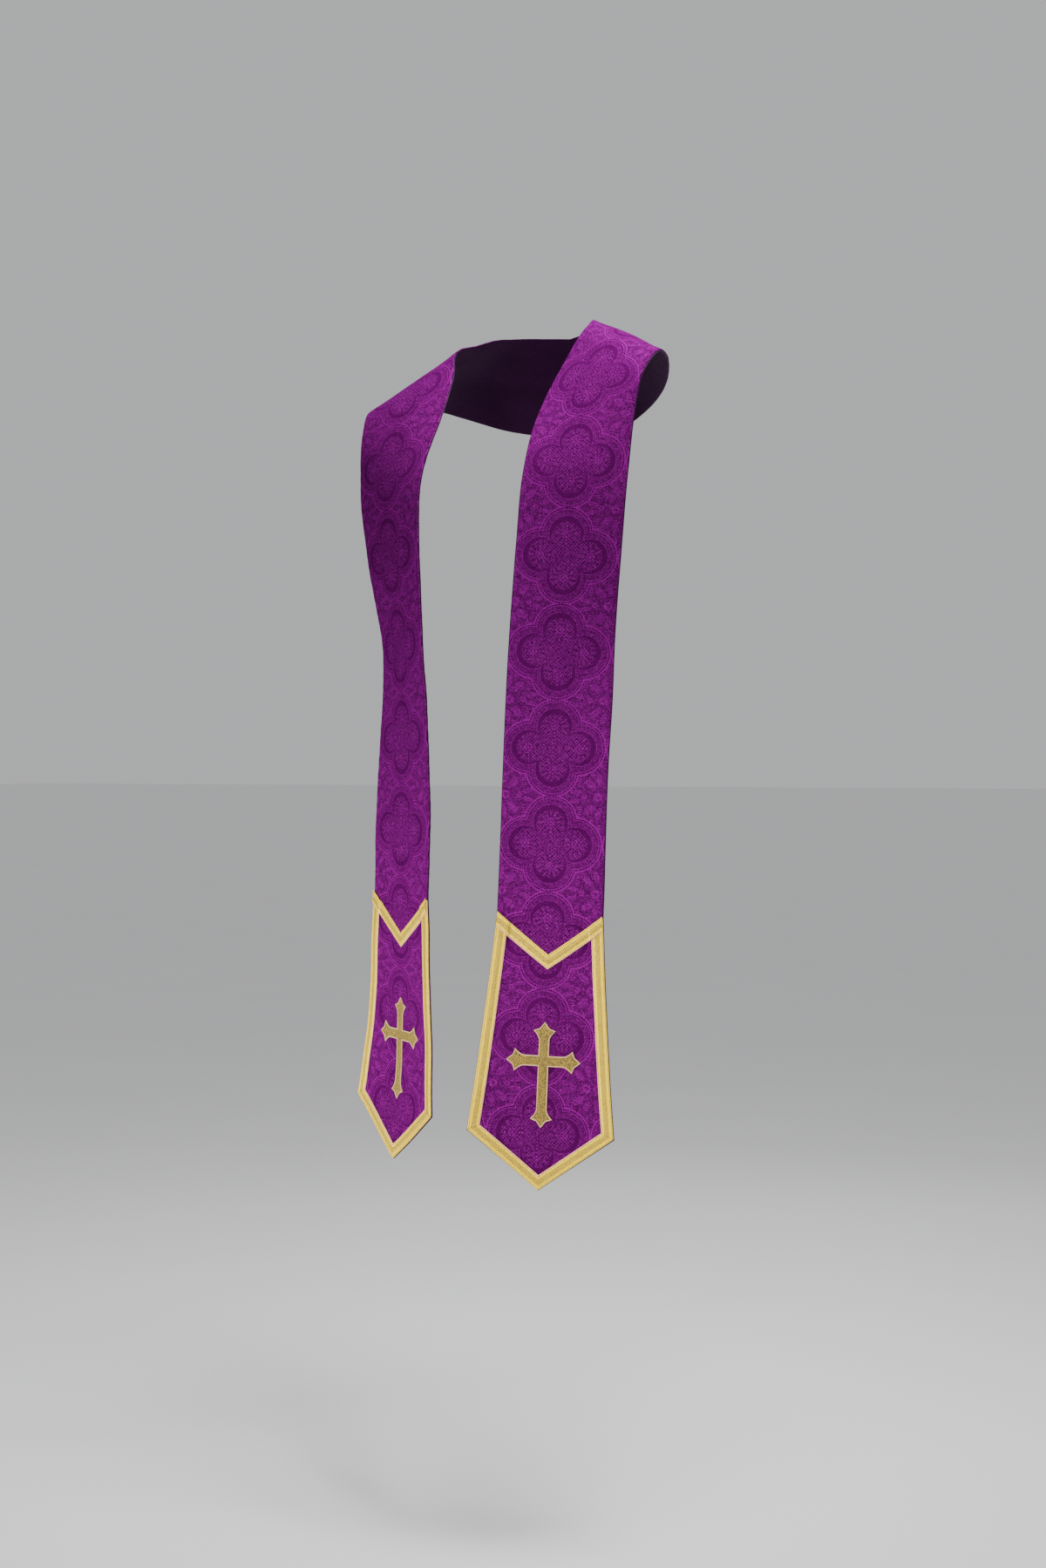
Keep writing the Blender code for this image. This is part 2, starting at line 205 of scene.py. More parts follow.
class Band:
    """One band's surface: the smooth path of its back through its sections."""

    def __init__(self, word):
        self.word = word
        self.side = SIDES[word]
        self.edges = np.array([row[1:] for row in SECTIONS[word]]) / 1000
        centres = (self.edges[:, 0:3] + self.edges[:, 3:6]) / 2
        lengths = np.linalg.norm(np.diff(centres, axis=0), axis=1)
        self.knots = run_along(centres)
        chords = np.diff(self.edges, axis=0) / lengths[:, None]
        before = lengths[:-1, None]
        after = lengths[1:, None]
        inner = (chords[:-1] * after + chords[1:] * before) / (before + after)
        self.slopes = np.vstack([chords[:1], inner, chords[-1:]])

    def section(self, s):
        k = np.clip(np.searchsorted(self.knots, s, side="right") - 1, 0, len(self.knots) - 2)
        span = (self.knots[k + 1] - self.knots[k])[..., None]
        past = np.clip(s - self.knots[-1], 0.0, None)[..., None]
        x = np.minimum((s - self.knots[k])[..., None] / span, 1.0)
        return (
            self.edges[k] * (1.0 + 2.0 * x) * (1.0 - x) ** 2
            + self.edges[k + 1] * x**2 * (3.0 - 2.0 * x)
            + self.slopes[k] * span * x * (1.0 - x) ** 2
            - self.slopes[k + 1] * span * x**2 * (1.0 - x)
            + self.slopes[-1] * past
        )

    def points(self, s, t):
        here = self.section(s)
        across = (here[..., 3:6] - here[..., 0:3]) / BAND_WIDTH
        centre = (here[..., 0:3] + here[..., 3:6]) / 2
        ahead = self.section(s + NEAR)
        along = (ahead[..., 0:3] + ahead[..., 3:6]) / 2 - centre
        out = unit(np.cross(along, across))
        bow = here[..., 6:7] * (1.0 - (2.0 * t[..., None] / BAND_WIDTH) ** 2)
        return centre + across * t[..., None] + out * bow

    def normals(self, s, t):
        step = NEAR / 2
        along = self.points(s + step, t) - self.points(s - step, t)
        across = self.points(s, t + step) - self.points(s, t - step)
        out = np.cross(along, across)
        out[..., 0] *= smooth_step(s / SEAM_LEVEL)
        return unit(out)

    def place(self, s, t, lift):
        """Points at s and t of the band, lifted off its back. All layers share the cloth's soft waves."""
        slide = self.side * SLIDE
        settled = smooth_step(s / SLIDE_FADE)
        at = s + slide * settled
        height = np.asarray(lift) + soft_waves(s, t)
        points = self.points(at, t) + self.normals(at, t) * height[..., None]
        points[..., 0] += slide * (1.0 - settled) + SEAM / 2
        points[..., 0] *= self.side
        return points


def half_width(s):
    x = np.clip((s - CHEVRON_TOP) / (CORNER - CHEVRON_TOP), 0.0, 1.0)
    flare = EVEN_FLARE * x + (1.0 - EVEN_FLARE) * x**2
    return HALF_BAND + (HALF_END - HALF_BAND) * flare


def soft_waves(s, t):
    """The slight waves of hanging cloth, and the finer pucker along its sewn edges."""
    waves = sum(h * np.sin(tau * (s / along + t / across) + start) for h, along, across, start in WAVES)
    inset = np.clip(half_width(s) - np.abs(t), 0.0, None)
    turn = rhythm(s, *PUCKER_RHYTHM) + PUCKER_OFFSET * np.sign(t)
    pucker = PUCKER * np.exp(-((inset / PUCKER_REACH) ** 2)) * np.sin(turn)
    return smooth_step(s / WAVES_GROW) * (waves + pucker * above_frame(s, PUCKER_END))


BANDS = {word: Band(word) for word in SIDES}


# ---- Meshes ----
def new_piece(name, vertices, faces, uv, material, smooth_angle=50.0):
    """A mesh object with one UV per vertex, in metres on the flat cloth, riding on the stole."""
    mesh = bpy.data.meshes.new(name)
    mesh.from_pydata([tuple(v) for v in vertices], [], [tuple(map(int, f)) for f in faces])
    layer = mesh.uv_layers.new(name="cloth")
    corners = np.empty(len(mesh.loops), np.int32)
    mesh.loops.foreach_get("vertex_index", corners)
    layer.data.foreach_set("uv", np.asarray(uv, np.float32)[corners].ravel())
    shape = bmesh.new()
    shape.from_mesh(mesh)
    bmesh.ops.recalc_face_normals(shape, faces=shape.faces)
    shape.to_mesh(mesh)
    shape.free()
    mesh.shade_smooth()
    mesh.set_sharp_from_angle(angle=radians(smooth_angle))
    mesh.materials.append(material)
    piece = bpy.data.objects.new(name, mesh)
    bpy.context.scene.collection.objects.link(piece)
    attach(piece, "root")
    return piece


def grid_faces(rows, columns, offset=0):
    r, c = np.meshgrid(np.arange(rows - 1), np.arange(columns - 1), indexing="ij")
    a = (r * columns + c).ravel() + offset
    return np.stack([a, a + 1, a + columns + 1, a + columns], axis=1)


def rim_of(rows, columns):
    """The border of a grid's vertices, in order round it."""
    top = list(range(columns))
    right = [r * columns + columns - 1 for r in range(1, rows)]
    bottom = [(rows - 1) * columns + c for c in range(columns - 2, -1, -1)]
    left = [r * columns for r in range(rows - 2, 0, -1)]
    return top + right + bottom + left


def loop_faces(loops, count, first=0, closed=False):
    """Faces between loops of count vertices, and from the last loop to the first if closed."""
    faces = []
    for k in range(loops if closed else loops - 1):
        here, after = first + k * count, first + (k + 1) % loops * count
        for i in range(count):
            j = (i + 1) % count
            faces.append((here + i, here + j, after + j, after + i))
    return faces


def sheet_piece(name, band, s, t, low, high, uv, material):
    """A closed thin sheet over a grid of s and t, between the heights low and high off the band's back."""
    rows, columns = s.shape
    count = rows * columns
    below = band.place(s, t, low).reshape(count, 3)
    above = band.place(s, t, high).reshape(count, 3)
    faces = [*grid_faces(rows, columns), *(grid_faces(rows, columns, count)[:, ::-1])]
    rim = rim_of(rows, columns)
    faces += [(b, a, count + a, count + b) for a, b in zip(rim, rim[1:] + rim[:1])]
    flat = uv.reshape(count, 2)
    return new_piece(name, np.vstack([below, above]), faces, np.vstack([flat, flat]), material)


def steps_between(first, last, step):
    return np.linspace(first, last, max(2, round((last - first) / step) + 1))


def band_grid(margin, row_step, columns):
    """s, t and the distance to the nearest edge over a whole band, whose rows turn into the end's V."""
    fold = np.array(FOLD)
    rows = np.concatenate([
        fold[:-1],
        steps_between(FOLD[-1], CORNER + margin - FOLD[-1] / POINT_INSET, row_step),
        CORNER + margin - fold[-2::-1] / POINT_INSET,
    ])
    inner = np.linspace(-1.0, 1.0, columns + 1)
    width = half_width(np.minimum(rows, CORNER))[:, None] + margin
    t = np.hstack([
        -width + fold[:-1],
        (width - FOLD[-1]) * inner,
        width - fold[-2::-1],
    ])
    point = smooth_step((rows - CHEVRON_TOP) / (CORNER - CHEVRON_TOP))[:, None]
    s = rows[:, None] + point * (TIP - CORNER) * (1.0 - np.abs(t) / width)
    inset = np.minimum(width - np.abs(t), rows[:, None])
    inset = np.minimum(inset, POINT_INSET * (CORNER + margin - rows)[:, None])
    return s, t, inset


def fold_share(inset, depth):
    """How much of its half thickness the cloth has at this distance from its folded edge."""
    return np.sqrt(np.clip(1.0 - (1.0 - np.clip(inset / depth, 0.0, 1.0)) ** 2, 0.0, 1.0))


def length_along(band, s):
    """The cloth's own length from the chevron's top to each s, measured on the middle of the face."""
    fine = np.linspace(0.0, TIP + 2 * NEAR, LENGTH_POINTS)
    line = band.place(fine, np.zeros(fine.shape), np.full(fine.shape, FACE))
    run = run_along(line)
    run += CHEVRON_TOP - np.interp(CHEVRON_TOP, fine, run)
    return np.interp(s, fine, run)


def face_piece(band, material):
    """The damask face, folded in along its edges over its own seam allowance."""
    s, t, inset = band_grid(0.0, ROW_STEP, COLUMNS)
    share = fold_share(inset, FOLD_DEPTH)
    middle = (FACE - GAP / 2) / 2
    half = (FACE + GAP / 2) / 2
    turned = TURNING_LIFT * (1.0 - smooth_step((inset - TURNING) / TURNING_FADE))
    turned *= above_frame(s, TURNING_END)
    low = middle - half * share
    high = middle + (half + turned) * share
    across = t - COLUMN_SHIFT[band.word]
    uv = np.stack([across, length_along(band, s) - TOUCH[band.word]], axis=-1)
    return sheet_piece(f"face_{band.word}", band, s, t, low, high, uv, material)


def lining_piece(band, material):
    """The lining, a little wider than the face so that its edge shows."""
    s, t, inset = band_grid(LINING_SHOWS, LINING_ROW_STEP, LINING_COLUMNS)
    share = fold_share(inset, FOLD_DEPTH)
    half = LINING / 2
    middle = -GAP / 2 - half
    turn = rhythm(s, *LINING_RHYTHM) + LINING_SLANT * np.abs(t)
    nearness = np.exp(-(((inset - LINING_PUCKER_IN) / LINING_PUCKER_IN) ** 2))
    ease = LINING_PUCKER * (1.0 + np.sin(turn)) * nearness * share
    sag = 1.0 + np.sin(tau * (s / LINING_SAG_ALONG + t / LINING_SAG_ACROSS))
    ease += LINING_SAG * sag * smooth_step(inset / LINING_SAG_FADE)
    uv = np.stack([t, s], axis=-1)
    low = middle - half * share - ease
    return sheet_piece(f"lining_sheet_{band.word}", band, s, t, low, middle + half * share, uv, material)


# ---- Galloon ----
# From a braid's edge to its middle: place across it from 0 to 1, and height as a share of its thickness
BRAID_PROFILE = (
    (0.000, 0.30), (0.012, 0.66), (0.040, 0.95), (0.075, 1.00), (0.110, 0.86), (0.135, 0.70),
    (0.165, 0.84), (0.230, 0.90), (0.300, 0.86), (0.340, 0.90), (0.420, 0.97), (0.500, 0.93),
)
PLACES = np.array([x for x, _ in BRAID_PROFILE] + [1.0 - x for x, _ in BRAID_PROFILE[-2::-1]])
HEIGHTS = BRAID * np.array([height for _, height in BRAID_PROFILE + BRAID_PROFILE[-2::-1]])
# The outermost part of a braid rolls over the cloth's edge: place across it, how far out and how far down
LIP = ((0.960, 0.0, 0.0), (0.988, 0.0001, 0.0002), (1.000, 0.0004, 0.0008))
SIDE_ROWS = 110
POINT_ROWS = 101
COVER_ROWS = 8
CLIMB_ROWS = (0.25, 0.5, 0.75)  # places on the climb onto the side braid
ARM_ROWS = 24


def lip():
    """How far out and down a braid's edge rolls at each place across it."""
    places, out, down = zip(*LIP)
    return np.interp(PLACES, places, out), np.interp(PLACES, places, down)


def braid_piece(name, band, s, t, base, run, material, pink_last=False):
    """A braid from grids of s and t, with a column for each of PLACES. run is the length along it."""
    low = base + np.zeros(s.shape)
    inward = 1.0 - PLACES if pink_last else PLACES
    uv = np.stack([run + np.zeros(s.shape), BRAID_WIDTH * inward + np.zeros(s.shape)], axis=-1)
    return sheet_piece(f"galloon_{name}_{band.word}", band, s, t, low, low + HEIGHTS, uv, material)


def inner_corner():
    """s and t where the side braid and the lower braid meet on the frame's inside."""
    edge = np.array([1.0, (half_width(CORNER) - half_width(CORNER - NEAR)) / NEAR])
    foot = np.array([TIP - CORNER, -HALF_END])
    from_side = np.array([edge[1], -edge[0]]) / hypot(*edge)
    from_foot = np.array([foot[1], -foot[0]]) / hypot(*foot)
    inward = (from_side + from_foot) / (1.0 + from_side @ from_foot)
    return np.array([CORNER, HALF_END]) + BRAID_WIDTH * inward


INNER_S, INNER_T = inner_corner()


def foot_place(down, c):
    """s, t and the rise of the fold, at c across a lower braid and down it from the corner to the tip."""
    inner_tip = TIP - BRAID_WIDTH * FOOT_SLANT / HALF_END
    s = (INNER_S + (inner_tip - INNER_S) * down) * (1.0 - c) + (CORNER + (TIP - CORNER) * down) * c
    t = (1.0 - down) * (INNER_T * (1.0 - c) + HALF_END * c)
    return s, t, FOLD_RISE * np.exp(-(((1.0 - down) / TIP_FOLD) ** 2))


def chevron_place(from_edge, c):
    """s, t and the climb onto the side braid, at c across the chevron and in from the end of its arm."""
    s = CHEVRON_TOP + CHEVRON_DROP * from_edge / HALF_BAND + BRAID_WIDTH * CHEVRON_SLANT / HALF_BAND * c
    climb = 1.0 - smooth_step((from_edge - CHEVRON_COVER) / STEP_UP)
    return s, half_width(s) * (1.0 - from_edge / HALF_BAND), (BRAID + GAP) * climb


def side_braid(band, outward, material):
    """The braid on the arm side (outward 1) or the neck side (outward -1), tucked under the chevron."""
    r = np.linspace(0.0, 1.0, SIDE_ROWS)[:, None]
    top_t = HALF_BAND - BRAID_WIDTH * (1.0 - PLACES)
    top = CHEVRON_TOP + CHEVRON_DROP * (1.0 - top_t / HALF_BAND) + TUCK
    foot = INNER_S * (1.0 - PLACES) + CORNER * PLACES - FOOT_GAP
    s = top * (1.0 - r) + foot * r
    out, down = lip()
    t = outward * (half_width(s) - BRAID_WIDTH * (1.0 - PLACES) + out)
    name = "arm_side" if outward > 0 else "neck_side"
    return braid_piece(name, band, s, t, FACE + GAP - down, s - CHEVRON_TOP, material)


def point_braid(band, material):
    """The braid along the pointed end, folded at the tip."""
    v = np.linspace(-1.0, 1.0, POINT_ROWS)[:, None]
    s, t, fold = foot_place(1.0 - np.abs(v), PLACES)
    out, drop = lip()
    run = t * FOOT_SLANT / HALF_END
    return braid_piece("point", band, s + out, np.sign(v) * t, FACE + GAP + fold - drop, run, material)


def chevron_braid(band, material):
    """The V across the end's top, whose ends lie over the side braids."""
    v = np.concatenate([
        np.linspace(0.0, CHEVRON_COVER, COVER_ROWS),
        CHEVRON_COVER + STEP_UP * np.array(CLIMB_ROWS),
        np.linspace(CHEVRON_COVER + STEP_UP, HALF_BAND, ARM_ROWS),
    ])
    from_edge = np.concatenate([v, v[-2::-1]])[:, None]
    outward = np.concatenate([-np.ones(len(v)), np.ones(len(v) - 1)])[:, None]
    s, t, climb = chevron_place(from_edge, PLACES)
    fold = FOLD_RISE * np.exp(-(((HALF_BAND - from_edge) / CHEVRON_FOLD) ** 2))
    along = (HALF_BAND - from_edge) * CHEVRON_SLANT / HALF_BAND
    run = along + (CHEVRON_DROP / CHEVRON_SLANT) * BRAID_WIDTH * PLACES
    base = FACE + GAP + climb + fold
    return braid_piece("chevron", band, s, outward * t, base, run, material, pink_last=True)


# ---- Cross ----
OUTLINE_STEP = 0.0012
FLARE_STEPS = 12
TIP_STEPS = 5
MITRE_LIMIT = 0.45  # keeps the mitre of a sharp corner short
SATIN_WIDTH = 0.0014
SATIN_LIFT = 0.0012
FILL_BORDER = 0.8 * SATIN_WIDTH  # how far in from the outline the fill starts, under the edge
FILL_LIFT = 0.00085
FILL_SIDE = 0.72  # the fill's height at its border, as a share
FILL_CROWN = 0.004  # how far in from the border it is at its full height
FILL_STEP = 0.0022
FILL_CLEAR = 0.0001  # left under the fill
# Across the satin edge, from its outside in: place as a share of the width, and height as a share
SATIN_PROFILE = (
    (0.00, 0.00), (0.03, 0.42), (0.14, 0.78), (0.32, 0.97),
    (0.50, 1.00), (0.70, 0.93), (0.88, 0.80), (1.00, 0.62),
)


def arm_edge(length):
    """One edge of a cross arm, from the crossing to the tip, as distances along it and from its middle."""
    neck = length - FLARE_BACK
    steps = round((neck - STEM_HALF) / OUTLINE_STEP)
    edge = [(STEM_HALF + (neck - STEM_HALF) * i / steps, STEM_HALF) for i in range(steps + 1)]
    for i in range(1, FLARE_STEPS + 1):
        x = i / FLARE_STEPS
        out = STEM_HALF + (BARB_HALF - STEM_HALF) * x**FLARE_CURVE
        edge.append((neck + (FLARE_BACK - BARB_BACK) * x, out))
    for end in ((length - NOTCH_BACK, NOTCH_HALF), (length, 0.0)):
        start = edge[-1]
        for i in range(1, TIP_STEPS + 1):
            edge.append(tuple(a + (b - a) * i / TIP_STEPS for a, b in zip(start, end)))
    return edge


def cross_outline():
    """The cross's outline, as down and across from its crossing."""
    outline = []
    arms = (
        (ARM_DOWN, (1, 0), (0, -1)),
        (ARM_SIDE, (0, 1), (1, 0)),
        (ARM_UP, (-1, 0), (0, 1)),
        (ARM_SIDE, (0, -1), (-1, 0)),
    )
    for length, ahead, aside in arms:
        edge = arm_edge(length)
        both = edge + [(a, -b) for a, b in reversed(edge[1:-1])]
        for a, b in both:
            outline.append((a * ahead[0] + b * aside[0], a * ahead[1] + b * aside[1]))
    return np.array(outline)


def inset_outline(outline, distance):
    """The outline moved inwards by a distance, with mitred corners."""
    before = outline - np.roll(outline, 1, axis=0)
    after = np.roll(outline, -1, axis=0) - outline
    n1 = unit(np.stack([before[:, 1], -before[:, 0]], axis=1))
    n2 = unit(np.stack([after[:, 1], -after[:, 0]], axis=1))
    mitre = (n1 + n2) / np.maximum(1.0 + (n1 * n2).sum(axis=1, keepdims=True), MITRE_LIMIT)
    area = (outline[:, 0] * np.roll(outline[:, 1], -1) - outline[:, 1] * np.roll(outline[:, 0], -1)).sum()
    return outline - np.sign(area) * distance * mitre


def cross_edge(band, outline, material):
    """The satin-stitched edge: a closed loop round the outline."""
    base = FACE + GAP
    count = len(outline)
    run = run_along(outline)
    vertices, uv = [], []
    for x, height in (*SATIN_PROFILE, (SATIN_PROFILE[-1][0], 0.0)):
        ring = inset_outline(outline, SATIN_WIDTH * x)
        lift = np.full(count, base + SATIN_LIFT * height)
        vertices.append(band.place(CROSSING + ring[:, 0], ring[:, 1], lift))
        uv.append(np.stack([run, np.full(count, x * SATIN_WIDTH)], axis=1))
    faces = loop_faces(len(vertices), count, closed=True)
    name = f"cross_edge_{band.word}"
    return new_piece(name, np.vstack(vertices), faces, np.vstack(uv), material, smooth_angle=60.0)


def inside(a, b, outline):
    """Whether the point (a, b) lies inside a closed outline."""
    p, q = outline, np.roll(outline, -1, axis=0)
    spans = (p[:, 1] > b) != (q[:, 1] > b)
    p, q = p[spans], q[spans]
    crossed = a < p[:, 0] + (b - p[:, 1]) / (q[:, 1] - p[:, 1]) * (q[:, 0] - p[:, 0])
    return crossed.sum() % 2 == 1


def cross_fill(band, outline, material):
    """The gold filling: a plate just inside the edge, crowned between its sides."""
    border = inset_outline(outline, FILL_BORDER)
    points = [Vector(p) for p in border]
    low, high = border.min(axis=0), border.max(axis=0)
    for a in np.arange(low[0], high[0], FILL_STEP):
        for b in np.arange(low[1], high[1], FILL_STEP):
            if inside(a, b, border) and np.linalg.norm(border - (a, b), axis=1).min() > FILL_STEP / 2:
                points.append(Vector((a, b)))
    ring = list(range(len(border)))
    edges = list(zip(ring, ring[1:] + ring[:1]))
    flat, _, triangles, *_ = delaunay_2d_cdt(points, edges, [ring], 1, 1e-7)
    xy = np.array([tuple(p) for p in flat])
    depth = np.array([np.linalg.norm(border - p, axis=1).min() for p in xy])
    rise = np.sqrt(np.clip(depth / FILL_CROWN, 0.0, 1.0))
    crown = FILL_LIFT * (FILL_SIDE + (1.0 - FILL_SIDE) * rise)
    total = len(xy)
    base = FACE + GAP
    above = band.place(CROSSING + xy[:, 0], xy[:, 1], base + crown)
    below = band.place(CROSSING + xy[:, 0], xy[:, 1], np.full(total, base + FILL_CLEAR))
    faces = [tuple(f) for f in triangles] + [tuple(total + i for i in reversed(f)) for f in triangles]
    faces += [(b, a, total + a, total + b) for a, b in edges]
    uv = np.stack([xy[:, 1], xy[:, 0]], axis=1)
    name = f"cross_fill_{band.word}"
    return new_piece(name, np.vstack([below, above]), faces, np.vstack([uv, uv]), material)


# ---- Stitches ----
# Along a stitch: place, thickness and rise of its middle, in shares of its length and radius
STITCH_RINGS = (
    (0.00, 0.25, -1.00),
    (0.12, 0.85, -0.20),
    (0.50, 1.00, 0.55),
    (0.88, 0.85, -0.20),
    (1.00, 0.25, -1.00),
)
STITCH_SIDES = 6
STITCH_LENGTH = 0.0019
LINING_THREAD = 0.00022  # radius
LINING_SPACING = 0.0060  # from the start of one stitch to the next
LINING_START = 0.012  # s of the first stitches
LINING_INSET = 0.0008  # in from the face's edge
LINING_LEAN = 0.0004  # how far the hand stitches lean out
BRAID_THREAD = 0.00017
BRAID_SPACING = 0.0026
BRAID_SEAMS = (0.128, 0.872)  # places across a braid where it is sewn down
BRAID_SINK = 0.72  # height of these stitches on the braid, as a share of its thickness
SEAM_TOP = CHEVRON_TOP + 0.026  # where the side seams come out from under the chevron
SEAM_END = 0.001  # how far short of the lower braid the side seams stop
CHEVRON_SEAM = (0.0015, HALF_BAND - 0.0005)  # where its seams start and end, in from the arm's end
EDGE_POINTS = 400  # taken along the lining's edge to find its length
SEAM_POINTS = 60  # taken along each line of the braid's stitches


def stitch_piece(name, band, starts, ends, radius, out, material):
    """Small stitches in one mesh, between pairs of (s, t, lift). out is 1 on the face, -1 on the back."""
    vertices, faces, uv = [], [], []
    loops = len(STITCH_RINGS)
    for n, (a, b) in enumerate(zip(starts, ends)):
        along = b - a
        length = hypot(along[0], along[1])
        aside = np.array([-along[1], along[0], 0.0]) / length
        for x, size, rise in STITCH_RINGS:
            for k in range(STITCH_SIDES):
                turn = tau * k / STITCH_SIDES
                spot = a + along * x + aside * radius * size * cos(turn)
                vertices.append((spot[0], spot[1], spot[2] + out * radius * (rise + size * sin(turn))))
                uv.append((length * x, radius * k))
        first = n * loops * STITCH_SIDES
        last = first + (loops - 1) * STITCH_SIDES
        faces += loop_faces(loops, STITCH_SIDES, first)
        faces.append([first + k for k in range(STITCH_SIDES)])
        faces.append([last + k for k in reversed(range(STITCH_SIDES))])
    flat = np.array(vertices)
    placed = band.place(flat[:, 0], flat[:, 1], flat[:, 2])
    return new_piece(name, placed, faces, uv, material, smooth_angle=80.0)


def walk(line, spacing):
    """Stitch starts and ends along a line of (s, t, lift), evenly spaced."""
    run = run_along(line[:, :2])
    count = int((run[-1] - STITCH_LENGTH) / spacing)
    first = (run[-1] - STITCH_LENGTH - count * spacing) / 2
    at = first + spacing * np.arange(count + 1)
    places = at, at + STITCH_LENGTH
    return [np.stack([np.interp(x, run, line[:, k]) for k in range(3)], axis=1) for x in places]


def lining_stitches(band, material):
    """Small hand stitches that hold the lining to the turned edges, on the back."""
    lift = -GAP / 2 - LINING
    s = np.linspace(LINING_START, CORNER, EDGE_POINTS)
    starts, ends = [], []
    for side in (-1, 1):
        edge = np.stack([s, side * (half_width(s) - LINING_INSET), np.full(s.shape, lift)], axis=1)
        corner = (CORNER - LINING_INSET, side * (HALF_END - LINING_INSET), lift)
        foot = np.array([corner, (TIP - LINING_INSET, 0.0, lift)])
        for line, lean in ((edge, side * LINING_LEAN), (foot, 0.0)):
            a, b = walk(line, LINING_SPACING)
            starts.append(a)
            ends.append(b - np.array([0.0, lean, 0.0]))
    name = f"lining_stitches_{band.word}"
    return stitch_piece(name, band, np.vstack(starts), np.vstack(ends), LINING_THREAD, -1, material)


def braid_stitches(band, material):
    """The machine stitching along both edges of every braid."""
    top = FACE + GAP + BRAID * BRAID_SINK
    starts, ends = [], []
    for c in BRAID_SEAMS:
        lines = []
        for side in (-1, 1):
            s = np.linspace(SEAM_TOP, INNER_S * (1.0 - c) + CORNER * c - SEAM_END, SEAM_POINTS)
            lines.append((s, side * (half_width(s) - BRAID_WIDTH * (1.0 - c)), np.full(SEAM_POINTS, top)))
            s, t, fold = foot_place(np.linspace(0.0, 1.0, SEAM_POINTS // 2), c)
            lines.append((s, side * t, top + fold))
            s, t, climb = chevron_place(np.linspace(*CHEVRON_SEAM, SEAM_POINTS), c)
            lines.append((s, side * t, top + climb))
        for line in lines:
            a, b = walk(np.stack(line, axis=1), BRAID_SPACING)
            starts.append(a)
            ends.append(b)
    name = f"galloon_stitches_{band.word}"
    return stitch_piece(name, band, np.vstack(starts), np.vstack(ends), BRAID_THREAD, 1, material)


# ---- Materials ----
THREAD = 0.0005  # spacing of the cloth's threads


def operation(kind):
    """A method of Wire that adds a Math node."""
    return lambda self, *others: self.math(kind, *others)


class Wire:
    """A number in a node tree, with arithmetic that adds Math nodes."""

    def __init__(self, tree, socket):
        self.tree = tree
        self.socket = socket

    def math(self, kind, *others):
        node = self.tree.nodes.new("ShaderNodeMath")
        node.operation = kind
        for slot, value in zip(node.inputs, (self, *others)):
            plug(self.tree, value, slot)
        return Wire(self.tree, node.outputs[0])

    __add__ = __radd__ = operation("ADD")
    __sub__ = operation("SUBTRACT")
    __mul__ = __rmul__ = operation("MULTIPLY")
    __truediv__ = operation("DIVIDE")
    __abs__ = operation("ABSOLUTE")
    least = operation("MINIMUM")
    most = operation("MAXIMUM")
    power = operation("POWER")
    sine = operation("SINE")
    cosine = operation("COSINE")
    below = operation("LESS_THAN")
    turn = operation("ARCTAN2")  # up.turn(across) is the angle of the point (across, up)

    def __rsub__(self, other):
        return self.math("MULTIPLY", -1.0) + other

    def fold(self, period):
        """Repeats: from minus half a period to half a period."""
        return self.math("WRAP", period / 2, -period / 2)

    def fade(self, low, high):
        """0 up to low, 1 from high, smooth between."""
        node = self.tree.nodes.new("ShaderNodeMapRange")
        node.interpolation_type = "SMOOTHSTEP"
        for name, value in (("Value", self), ("From Min", low), ("From Max", high)):
            plug(self.tree, value, node.inputs[name])
        return Wire(self.tree, node.outputs["Result"])

    def line(self, at, half):
        """1 on a thin line where this value is at, 0 away from it."""
        return 1.0 - abs(self - at).fade(half * 0.4, half * 1.6)

    def blend(self, first, second):
        """first where this is 0, second where it is 1."""
        return first * (1.0 - self) + second * self


def plug(tree, value, slot):
    """Link a Wire or a socket to a slot, or set the slot to a plain value."""
    if isinstance(value, Wire):
        value = value.socket
    if isinstance(value, bpy.types.NodeSocket):
        tree.links.new(value, slot)
    else:
        slot.default_value = value


def reach(x, y):
    """The distance of the point (x, y) from the origin."""
    return (x * x + y * y).power(0.5)


def split(tree, vector):
    node = tree.nodes.new("ShaderNodeSeparateXYZ")
    tree.links.new(vector, node.inputs[0])
    return Wire(tree, node.outputs["X"]), Wire(tree, node.outputs["Y"])


def join(tree, x, y):
    node = tree.nodes.new("ShaderNodeCombineXYZ")
    plug(tree, x, node.inputs[0])
    plug(tree, y, node.inputs[1])
    return node.outputs[0]


def new_group(name, place, parts):
    """A shader node group from a place on the cloth to its parts, which are numbers."""
    group = bpy.data.node_groups.new(name, "ShaderNodeTree")
    group.interface.new_socket(name=place, in_out="INPUT", socket_type="NodeSocketVector")
    for part in parts:
        group.interface.new_socket(name=part, in_out="OUTPUT", socket_type="NodeSocketFloat")
    ends = group.nodes.new("NodeGroupInput"), group.nodes.new("NodeGroupOutput")
    return group, ends[0].outputs, ends[1].inputs


def give(tree, outputs, **values):
    """Link the group's outputs, by name, and return the group."""
    for name, value in values.items():
        plug(tree, value, outputs[name])
    return tree


# The quatrefoil
LOBE_SIDE = 0.0305  # from its middle to the middle of a side lobe
LOBE_TOP = 0.0262  # from its middle to the middle of an upper or lower lobe
LOBE = 0.0205  # a lobe's radius inside the ring
RING = 0.0125  # the ring's width
HEART = 0.0199  # from its middle to the line through the middles of two lobes
CRESCENT_IN = 0.0036  # how far the shade's inner circles lie in from the lobes
CRESCENT_LESS = 0.0026  # how much smaller they are
